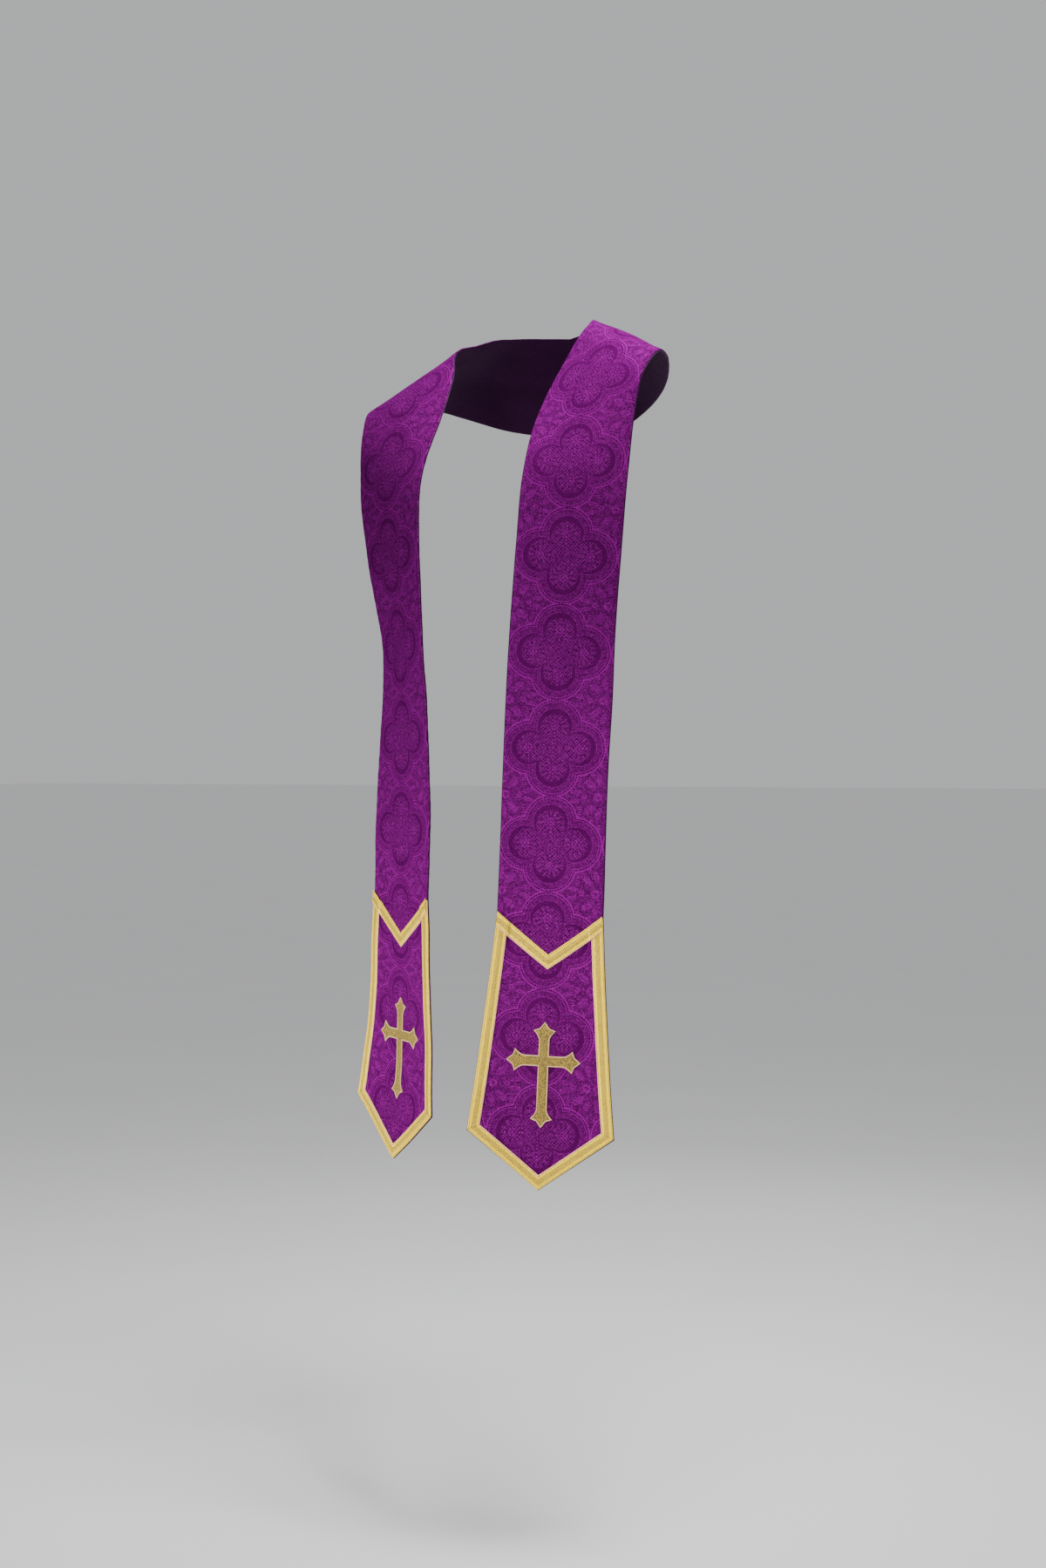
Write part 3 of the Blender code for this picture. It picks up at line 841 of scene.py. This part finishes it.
# Lines round the quatrefoil: distance out from the ring's inside, half their width, and strength
RING_LINES = ((0.0012, 0.0008, 0.35), (0.0038, 0.0005, 0.35), (0.0060, 0.0005, 0.25))
BEADED_LINES = ((0.0084, 0.0008, 1.0), (0.0116, 0.0009, 1.9))
# Painted shade: darker lines in the hollows between the ring's raised lines
RING_HOLLOW_SHADE = ((0.0101, 0.0006, 1.0), (0.0073, 0.0008, 0.5))
# The flower in each lobe, by distance from the lobe's middle
PETALS_START = (0.0055, 0.0085)
PETALS_END = (0.0125, 0.0165)
FLORET = 0.0040
FLORET_HALF = 0.0012
LACE = 0.0043  # from one mesh of the lace to the next
# Between the quatrefoils, from the middle of the gap: place, radius and number of petals
BLOSSOMS = ((0.0068, 0.0056, 8.0), (0.0235, 0.0036, 6.0))
LADDER_AT = (0.0292, 0.0175)
LADDER_SIDE = (0.0020, 0.0028)  # where its side fades, from its middle
LADDER_TOP = (0.0065, 0.0075)
LADDER_TONE = 0.9
RUNG = 0.0029  # from one rung to the next
VEIN = 0.0026  # from one vein of a leaf to the next


def cells(tree, x, y, size):
    """Small cells over the cloth: the distance from a cell's middle, and the cell's own random number."""
    node = tree.nodes.new("ShaderNodeTexVoronoi")
    node.voronoi_dimensions = "2D"
    node.inputs["Scale"].default_value = 1.0
    tree.links.new(join(tree, x / size, y / size), node.inputs["Vector"])
    shade = tree.nodes.new("ShaderNodeSeparateColor")
    tree.links.new(node.outputs["Color"], shade.inputs[0])
    return Wire(tree, node.outputs["Distance"]), Wire(tree, shade.outputs[0])


def clouds(tree, x, y, size_x, size_y, detail=2.0):
    """Soft noise between 0 and 1, with its own size each way."""
    node = tree.nodes.new("ShaderNodeTexNoise")
    node.noise_dimensions = "2D"
    node.inputs["Scale"].default_value = 1.0
    node.inputs["Detail"].default_value = detail
    tree.links.new(join(tree, x / size_x, y / size_y), node.inputs["Vector"])
    return Wire(tree, node.outputs["Fac"])


# A leaf: the middle of its blade, its heading in degrees, half its length and half its width
LEAVES = (
    (0.0165, 0.0150, 40.0, 0.0098, 0.0044),
    (0.0060, 0.0205, 78.0, 0.0098, 0.0034),
    (0.0345, 0.0050, 10.0, 0.0090, 0.0030),
    (0.0045, 0.0385, 84.0, 0.0078, 0.0024),
    (0.0255, 0.0270, 62.0, 0.0060, 0.0026),
    (0.0150, 0.0300, 58.0, 0.0070, 0.0026),
)


def leaf(x, y, shape):
    """A lobed leaf with a midrib and slanting veins: 0 off it, up to 1 on its blade."""
    middle_x, middle_y, heading, half_length, half_breadth = shape
    turn = radians(heading)
    dx = x - middle_x
    dy = y - middle_y
    along = dx * cos(turn) + dy * sin(turn)
    aside = abs(dy * cos(turn) - dx * sin(turn))
    edge = (1.0 - (along / half_length) * (along / half_length)) * half_breadth
    lobes = 1.0 + (along * (tau / (half_length * 0.5))).cosine() * 0.16
    blade = 1.0 - (aside - edge * lobes).fade(-0.0008, 0.0002)
    veins = ((along - aside) * (tau / VEIN)).cosine()
    return blade * (0.68 + veins * 0.22 - aside.line(0.0, 0.0004) * 0.4)


def drawn(distance, lines):
    """Lines where the distance meets each place: rows of place, half width and strength."""
    return sum(distance.line(at, half) * strength for at, half, strength in lines)


def blossom(x, y, radius, petals):
    """A small flower of dots round an eye: 0 off it, up to 1 on it."""
    distance = reach(x, y)
    turns = (y.turn(x) * petals).cosine()
    disc = 1.0 - (distance - turns * (radius * 0.16)).fade(radius * 0.88, radius * 1.08)
    rim = distance.line(radius * 0.62, radius * 0.16)
    eye = distance.line(radius * 0.3, radius * 0.13)
    return disc * (0.55 + rim * 0.5 - eye * 0.5)


def damask_group():
    """The woven figure. Tone is its lightness, Relief its height in mm, and the third output the painted
    glints of its threads.
    """
    tree, inputs, outputs = new_group("damask figure", "Cloth", ("Tone", "Relief", "Spark"))
    cloth_x, cloth_y = split(tree, inputs["Cloth"])
    x = abs(cloth_x.fold(COLUMN))
    y = abs((cloth_y - REPEAT / 2).fold(REPEAT))
    side = reach(x - LOBE_SIDE, y) - LOBE
    top = reach(x, y - LOBE_TOP) - LOBE
    heart = (x / LOBE_SIDE + y / LOBE_TOP - 1.0) * HEART
    out = side.least(top)
    within = 1.0 - out.least(heart).fade(-0.0002, 0.0004)
    disc = 1.0 - out.fade(RING - 0.0003, RING + 0.0005)
    ring = disc * (1.0 - within)
    ground = 1.0 - disc
    # the nearer lobe's own polar coordinates
    by_side = side.below(top)
    from_middle = out + LOBE
    angle = by_side.blend((y - LOBE_TOP).turn(x), y.turn(x - LOBE_SIDE))
    mottle = clouds(tree, cloth_x, cloth_y, 0.0011, 0.0017, 3.0) - 0.5
    blur = clouds(tree, cloth_x, cloth_y, 0.0024, 0.0024, 2.0) - 0.5
    # shade just inside the ring, widest at each lobe's far side, with a twisted edge
    twist = (angle * 30.0).sine() * 0.0007 + blur * 0.0030
    small_side = reach(x - (LOBE_SIDE - CRESCENT_IN), y) - (LOBE - CRESCENT_LESS)
    small_top = reach(x, y - (LOBE_TOP - CRESCENT_IN)) - (LOBE - CRESCENT_LESS)
    crescent = within * (small_side.least(small_top).least(heart) + twist).fade(-0.0012, 0.0012)
    # lines of the ring
    beads = 0.62 + (angle * 62.0).sine() * 0.38
    lines = (drawn(out, RING_LINES) + drawn(out, BEADED_LINES) * beads) * ring
    # painted shade in the hollows between the ring's raised lines
    hollow_shade = drawn(out, RING_HOLLOW_SHADE) * ring
    # flowers in the lobes
    petals = (
        (angle * 12.0).cosine()
        * from_middle.fade(*PETALS_START)
        * (1.0 - from_middle.fade(*PETALS_END))
    )
    floret = (
        from_middle.line(FLORET, FLORET_HALF) * (angle * 8.0).cosine().fade(-0.2, 0.6)
        + from_middle.line(0.0, FLORET_HALF)
    )
    lace = (x * (tau / LACE)).sine() * (y * (tau / LACE)).sine()
    filling = within * (1.0 - crescent)
    flowers = filling * (petals * 0.28 + floret * 0.8 + lace * 0.50)
    # between the quatrefoils: blossoms, ladders and leaves, all round the middle of the gap
    gap_x = COLUMN / 2 - x
    gap_y = REPEAT / 2 - y
    motif = (
        (1.0 - abs(gap_x - LADDER_AT[0]).fade(*LADDER_SIDE))
        * (1.0 - abs(gap_y - LADDER_AT[1]).fade(*LADDER_TOP))
        * (gap_y * (tau / RUNG)).sine().fade(-0.1, 0.5)
        * LADDER_TONE
    )
    for at, radius, count in BLOSSOMS:
        motif = motif.most(blossom(gap_x - at, gap_y, radius, count))
    for shape in LEAVES:
        motif = motif.most(leaf(gap_x, gap_y, shape))
    motifs = ground * motif
    # the threads' uneven tone, with painted glints: bright cells where single threads catch the light
    spot, chance = cells(tree, cloth_x, cloth_y, 0.0012)
    busy = filling * 0.85 + ground * 0.85 + ring * 0.65
    wide_spot, wide_chance = cells(tree, cloth_x + 0.5, cloth_y, 0.0021)
    glitter = (1.0 - wide_spot.fade(0.15, 0.6)) * (wide_chance - 0.42)
    painted_sparkle = ((1.0 - spot.fade(0.20, 0.55)) * chance.fade(0.50, 1.0) + glitter.most(0.0) * 0.5) * busy
    drift = clouds(tree, cloth_x, cloth_y, 0.030, 0.055, 2.0) - 0.5
    tone = (
        0.40
        - ring * 0.05
        + filling * 0.03
        + lines * 0.60
        + flowers * 0.38
        + motifs * 0.30
        - crescent * (0.04 + blur * 0.25)
        - hollow_shade * 0.10
        + mottle * (0.30 + busy * 0.28)
        + glitter * (0.09 + busy * 0.17)
        + blur * 0.34
        + drift * 0.12
    )
    relief = (
        disc * 0.015
        + lines * 0.05
        + motifs * 0.04
        + flowers * 0.05
        - crescent * 0.02
        + mottle * 0.14
    )
    return give(tree, outputs, Tone=tone, Relief=relief, Spark=painted_sparkle)


def weave_group():
    """Plain threads both ways. Relief is height in mm, Fleck the threads' uneven shade."""
    tree, inputs, outputs = new_group("thread weave", "Cloth", ("Relief", "Fleck"))
    cloth_x, cloth_y = split(tree, inputs["Cloth"])
    slub = clouds(tree, cloth_x, cloth_y, 0.0009, 0.012)
    warp = (cloth_x * tau / THREAD + slub * 2.0).sine()
    weft = (cloth_y * tau / THREAD).sine()
    fleck = clouds(tree, cloth_x, cloth_y, 0.0006, 0.006)
    relief = warp * 0.018 + weft * 0.010 + (warp * weft) * 0.010 + slub * 0.03
    return give(tree, outputs, Relief=relief, Fleck=fleck)


# The galloon, by distance from its middle line
SELVEDGE_START = (0.0060, 0.0063)
INNER_WIDER = 0.0005  # how much wider the selvedge on the inner edge is
MIDDLE_END = (0.0022, 0.0032)
# Painted shade: darker lines in the grooves where the braid's parts meet
GROOVE_SHADE = ((0.0057, 0.0004, 1.0), (0.0029, 0.0005, 0.6))
HERRING = 0.0020  # from one line of the herringbone to the next
FINE_LINE = 0.0011
CORD = 0.0009


def braid_group():
    """The galloon: a herringbone middle, smoother borders and corded selvedges, across its width."""
    parts = ("Selvedge", "Inner", "Middle", "Tone", "Relief")
    tree, inputs, outputs = new_group("galloon weave", "Run", parts)
    run, across = split(tree, inputs["Run"])
    off = abs(across - BRAID_WIDTH / 2)
    inner = across.below(BRAID_WIDTH / 2)
    selvedge = (off + inner * INNER_WIDER).fade(*SELVEDGE_START)
    middle = 1.0 - off.fade(*MIDDLE_END)
    wander = clouds(tree, run, across, 0.004, 0.004) * 0.9
    herring = ((run + off * 1.15) * (tau / HERRING) + wander).sine()
    fine = ((run - off * 1.4) * (tau / FINE_LINE) + wander).sine()
    cord = (run * (tau / CORD)).sine()
    spot, chance = cells(tree, run, across, 0.0009)
    fleck = (chance - 0.5) * (1.0 - spot.fade(0.2, 0.7))
    mottle = clouds(tree, run, across, 0.0016, 0.0008, 3.0) - 0.5
    # painted shade in the grooves
    groove_shade = drawn(off, GROOVE_SHADE)
    body = middle.blend(fine * 0.10 + herring * 0.14 + 0.80, herring * 0.30 + 0.46)
    tone = selvedge.blend(body, cord * 0.10 + 0.75) + fleck * 0.42 + mottle * 0.46 - groove_shade * 0.28
    ribs = middle.blend(fine * 0.03 + herring * 0.04, herring * 0.09)
    relief = selvedge.blend(ribs, cord * 0.05) + mottle * 0.06
    return give(tree, outputs, Selvedge=selvedge, Inner=inner, Middle=middle, Tone=tone, Relief=relief)


# Embroidery threads
FILL_SLANT = 38.0  # degrees between the rows and the cross's arms
FILL_ROW = 0.00062
FILL_STITCH = 0.0030
FILL_SHIFT = 0.0025  # across the rows, over which their stitches shift back and forth
SATIN_THREAD = 0.00042


def stitch_fill_group():
    """Rows of filling stitches in metal thread, laid in bricks and catching the light unevenly."""
    tree, inputs, outputs = new_group("filling stitches", "Cloth", ("Tone", "Relief"))
    cloth_x, cloth_y = split(tree, inputs["Cloth"])
    slant = radians(FILL_SLANT)
    turned_x = cloth_x * cos(slant) + cloth_y * sin(slant)
    turned_y = cloth_y * cos(slant) - cloth_x * sin(slant)
    row = (turned_y * (tau / FILL_ROW)).sine()
    shift = (turned_y * (tau / FILL_SHIFT)).sine() * 2.2
    brick = (turned_x * (tau / FILL_STITCH) + shift).sine().fade(0.6, 1.0)
    spot, chance = cells(tree, cloth_x, cloth_y, 0.0009)
    glint = (chance - 0.5) * (1.0 - spot.fade(0.25, 0.75))
    mottle = clouds(tree, cloth_x, cloth_y, 0.0010, 0.0013, 3.0) - 0.5
    tone = 0.46 + row * 0.06 + brick * -0.16 + glint * 0.85 + mottle * 1.0
    relief = row * 0.05 - brick * 0.07 + glint * 0.05 + mottle * 0.10
    return give(tree, outputs, Tone=tone, Relief=relief)


def satin_group():
    """Close parallel stitches laid across a narrow edge."""
    tree, inputs, outputs = new_group("satin stitches", "Run", ("Tone", "Relief"))
    run, across = split(tree, inputs["Run"])
    wander = clouds(tree, run, across, 0.0015, 0.004)
    thread = ((run + across * 0.35) * (tau / SATIN_THREAD) + wander * 2.5).sine()
    mottle = clouds(tree, run, across, 0.0009, 0.003, 3.0) - 0.5
    tone = 0.62 + thread * 0.12 + mottle * 0.45
    return give(tree, outputs, Tone=tone, Relief=thread * 0.05 + mottle * 0.04)


def place_group(tree, group, vector):
    node = tree.nodes.new("ShaderNodeGroup")
    node.node_tree = group
    tree.links.new(vector, node.inputs[0])
    return {socket.name: Wire(tree, socket) for socket in node.outputs}


def mix_colour(tree, share, first, second):
    """first where share is 0 and second where it is 1. Each is a colour or a socket."""
    node = tree.nodes.new("ShaderNodeMix")
    node.data_type = "RGBA"
    plug(tree, share, node.inputs["Factor"])
    for slot, value in ((node.inputs[6], first), (node.inputs[7], second)):
        plug(tree, (*value, 1.0) if isinstance(value, tuple) else value, slot)
    return node.outputs[2]


def feed(tree, shader, **values):
    """Set or link the shader's sockets by name, with _ for a space."""
    for socket, value in values.items():
        plug(tree, value, shader.inputs[socket.replace("_", " ")])


def new_material(name, **sockets):
    """A Principled material with these plain socket values, and its UV map."""
    material = bpy.data.materials.new(name)
    material.use_nodes = True
    tree = material.node_tree
    shader = tree.nodes["Principled BSDF"]
    feed(tree, shader, **sockets)
    cloth = tree.nodes.new("ShaderNodeUVMap")
    cloth.uv_map = "cloth"
    return material, tree, shader, cloth.outputs[0]


def raise_surface(tree, shader, height, strength=1.0):
    """Bump from a height in mm."""
    bump = tree.nodes.new("ShaderNodeBump")
    bump.inputs["Strength"].default_value = strength
    bump.inputs["Distance"].default_value = 0.001
    tree.links.new(height.socket, bump.inputs["Height"])
    tree.links.new(bump.outputs[0], shader.inputs["Normal"])


def damask_material(damask, weave):
    material, tree, shader, cloth = new_material(
        "purple damask",
        Specular_IOR_Level=0.0,
        Specular_Tint=(1.0, 0.12, 1.0, 1.0),
        Sheen_Weight=0.03,
        Sheen_Roughness=0.5,
        Sheen_Tint=(0.75, 0.04, 0.75, 1.0),
    )
    figure = place_group(tree, damask, cloth)
    threads = place_group(tree, weave, cloth)
    tone = figure["Tone"] + (threads["Fleck"] - 0.5) * 0.22
    colour = mix_colour(tree, tone.fade(0.0, 1.0), (0.012, 0.0, 0.013), (0.172, 0.0, 0.158))
    # painted glints: the sparkle mask mixes a bright lilac into the colour
    colour = mix_colour(tree, figure["Spark"] * 0.46, colour, (0.34, 0.035, 0.32))
    lustre = tone.fade(0.1, 0.9)
    feed(tree, shader, Base_Color=colour, Metallic=lustre * 0.30, Roughness=0.68 - lustre * 0.20)
    raise_surface(tree, shader, figure["Relief"] + threads["Relief"], 0.7)
    return material


def lining_material(weave):
    material, tree, shader, cloth = new_material(
        "dark lining",
        Specular_IOR_Level=0.1,
        Specular_Tint=(0.8, 0.5, 0.8, 1.0),
        Sheen_Weight=0.08,
        Sheen_Roughness=0.4,
        Sheen_Tint=(0.6, 0.25, 0.6, 1.0),
    )
    threads = place_group(tree, weave, cloth)
    x, y = split(tree, cloth)
    drift = clouds(tree, x, y, 0.04, 0.09)
    tone = threads["Fleck"] * 0.6 + drift * 0.4
    # The near-black plum is partly the lining's own dark colour and partly painted shade of its narrow
    # visible edge
    colour = mix_colour(tree, tone.fade(0.1, 0.9), (0.014, 0.0015, 0.016), (0.040, 0.005, 0.043))
    feed(tree, shader, Base_Color=colour, Roughness=0.52 - tone * 0.12)
    raise_surface(tree, shader, threads["Relief"], 0.6)
    return material


def braid_material(braid):
    material, tree, shader, cloth = new_material(
        "gold galloon", Specular_IOR_Level=0.4, Specular_Tint=(1.0, 0.8, 0.4, 1.0)
    )
    parts = place_group(tree, braid, cloth)
    tone = parts["Tone"]
    border = mix_colour(tree, tone.fade(0.1, 1.0), (0.28, 0.155, 0.001), (0.98, 0.67, 0.008))
    middle = mix_colour(tree, tone.fade(0.05, 0.95), (0.11, 0.062, 0.006), (0.90, 0.62, 0.055))
    metal = mix_colour(tree, parts["Middle"], border, middle)
    pink = mix_colour(tree, tone.fade(0.2, 1.0), (0.50, 0.20, 0.08), (0.94, 0.54, 0.27))
    pale = mix_colour(tree, tone.fade(0.2, 1.0), (0.40, 0.24, 0.01), (0.94, 0.65, 0.045))
    edge = mix_colour(tree, parts["Inner"], pale, pink)
    colour = mix_colour(tree, parts["Selvedge"], metal, edge)
    metallic = 0.38 - parts["Selvedge"] * 0.30
    feed(tree, shader, Base_Color=colour, Metallic=metallic, Roughness=0.46 + (0.5 - tone) * 0.2)
    raise_surface(tree, shader, parts["Relief"], 0.8)
    return material


def cross_fill_material(fill):
    material, tree, shader, cloth = new_material("antique gold thread")
    stitches = place_group(tree, fill, cloth)
    tone = stitches["Tone"].fade(0.05, 0.95)
    colour = mix_colour(tree, tone, (0.032, 0.018, 0.003), (0.50, 0.33, 0.030))
    feed(tree, shader, Base_Color=colour, Metallic=0.20 + tone * 0.3, Roughness=0.5 - tone * 0.12)
    raise_surface(tree, shader, stitches["Relief"], 0.9)
    return material


def thread_material(name, satin, dark, light, roughness, bump, **sheen):
    material, tree, shader, cloth = new_material(name, **sheen)
    stitches = place_group(tree, satin, cloth)
    colour = mix_colour(tree, stitches["Tone"].fade(0.1, 1.0), dark, light)
    feed(tree, shader, Base_Color=colour, Roughness=roughness - stitches["Tone"] * 0.2)
    raise_surface(tree, shader, stitches["Relief"], bump)
    return material


# ---- Stage ----
FLOOR_Z = -1.50  # the ground under a standing adult, from the nape down
FLOOR_HALF = 90.0
CAMERA_AT = (1.520, -2.431, -0.553)
CAMERA_AZIMUTH = 33.0
LENS = 50.71
SHIFT_Y = -0.0108
WORLD_COLOUR = (0.97, 0.98, 1.0, 1.0)
WORLD_STRENGTH = 0.52
LIGHTS = (
    # name        at                 aimed at             size       watts spread
    ("overhead", (0.52, -0.34, 1.22), (0.12, -0.08, 0.0), (0.7, 0.7), 29.0, 110.0),
    ("low right", (0.6, -2.4, -0.9), (0.05, -0.2, -0.70), (1.0, 0.3), 1.6, 38.0),
    ("low left", (-1.3, -1.9, -1.1), (-0.02, -0.2, -0.88), (0.8, 0.3), 3.4, 38.0),
    ("back", (-0.8, 2.6, 0.2), (0.0, 0.0, -0.4), (1.6, 1.6), 6.0, 140.0),
)


def floor_piece():
    material, tree, shader, _ = new_material("pale floor", Roughness=0.85)
    place = tree.nodes.new("ShaderNodeTexCoord")
    x, y = split(tree, place.outputs["Object"])
    tone = clouds(tree, x, y, 0.5, 0.5)
    feed(tree, shader, Base_Color=mix_colour(tree, tone.fade(0.2, 0.8), (0.860,) * 3, (0.875,) * 3))
    mesh = bpy.data.meshes.new("floor")
    corners = [(x * FLOOR_HALF, y * FLOOR_HALF, FLOOR_Z) for x, y in ((-1, -1), (1, -1), (1, 1), (-1, 1))]
    mesh.from_pydata(corners, [], [(0, 1, 2, 3)])
    mesh.materials.append(material)
    floor = bpy.data.objects.new("floor", mesh)
    bpy.context.scene.collection.objects.link(floor)


def studio():
    world = bpy.data.worlds.new("studio")
    world.use_nodes = True
    back = world.node_tree.nodes["Background"]
    back.inputs["Color"].default_value = WORLD_COLOUR
    back.inputs["Strength"].default_value = WORLD_STRENGTH
    bpy.context.scene.world = world
    for name, at, aim, size, power, spread in LIGHTS:
        lamp = bpy.data.lights.new(name, "AREA")
        lamp.shape = "RECTANGLE"
        lamp.size, lamp.size_y = size
        lamp.energy = power
        lamp.spread = radians(spread)
        light = bpy.data.objects.new(name, lamp)
        light.location = at
        light.rotation_euler = (Vector(aim) - Vector(at)).to_track_quat("-Z", "Y").to_euler()
        bpy.context.scene.collection.objects.link(light)


def camera():
    data = bpy.data.cameras.new("camera")
    data.sensor_width = 36.0
    data.lens = LENS
    data.shift_y = SHIFT_Y
    view = bpy.data.objects.new("camera", data)
    view.location = CAMERA_AT
    view.rotation_euler = (radians(90.0), 0.0, radians(CAMERA_AZIMUTH))
    bpy.context.scene.collection.objects.link(view)
    bpy.context.scene.camera = view


def shown(piece, node=None):
    """Hide the CAD node that a piece stands for, if it has one, and return the piece."""
    if node:
        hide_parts(node)
    return piece


def build():
    camera()
    floor_piece()
    studio()
    weave = weave_group()
    damask = damask_material(damask_group(), weave)
    lining = lining_material(weave)
    braid = braid_material(braid_group())
    gold = cross_fill_material(stitch_fill_group())
    stitch = satin_group()
    satin = thread_material(
        "pale satin thread", stitch, (0.26, 0.12, 0.035), (0.82, 0.52, 0.22), 0.55, 0.8,
        Sheen_Weight=0.2, Sheen_Roughness=0.35, Sheen_Tint=(1.0, 0.9, 0.8, 1.0),
    )
    plum = thread_material(
        "plum thread", stitch, (0.02, 0.002, 0.022), (0.07, 0.010, 0.075), 0.6, 0.5, Sheen_Weight=0.1
    )
    straw = thread_material(
        "straw thread", stitch, (0.30, 0.18, 0.03), (0.85, 0.62, 0.16), 0.6, 0.5, Sheen_Weight=0.1
    )
    for word, band in BANDS.items():
        face = shown(face_piece(band, damask), f"panel_{word}")
        back = shown(lining_piece(band, lining), f"lining_{word}")
        braids = [
            shown(side_braid(band, -1, braid), f"braid_neck_side_{word}"),
            shown(side_braid(band, 1, braid), f"braid_arm_side_{word}"),
            shown(point_braid(band, braid), f"braid_point_{word}"),
            shown(chevron_braid(band, braid), f"braid_chevron_{word}"),
        ]
        outline = cross_outline()
        edge = shown(cross_edge(band, outline, satin))
        fill = shown(cross_fill(band, outline, gold), f"cross_{word}")
        seams = shown(braid_stitches(band, straw))
        stitches = shown(lining_stitches(band, plum))


build()
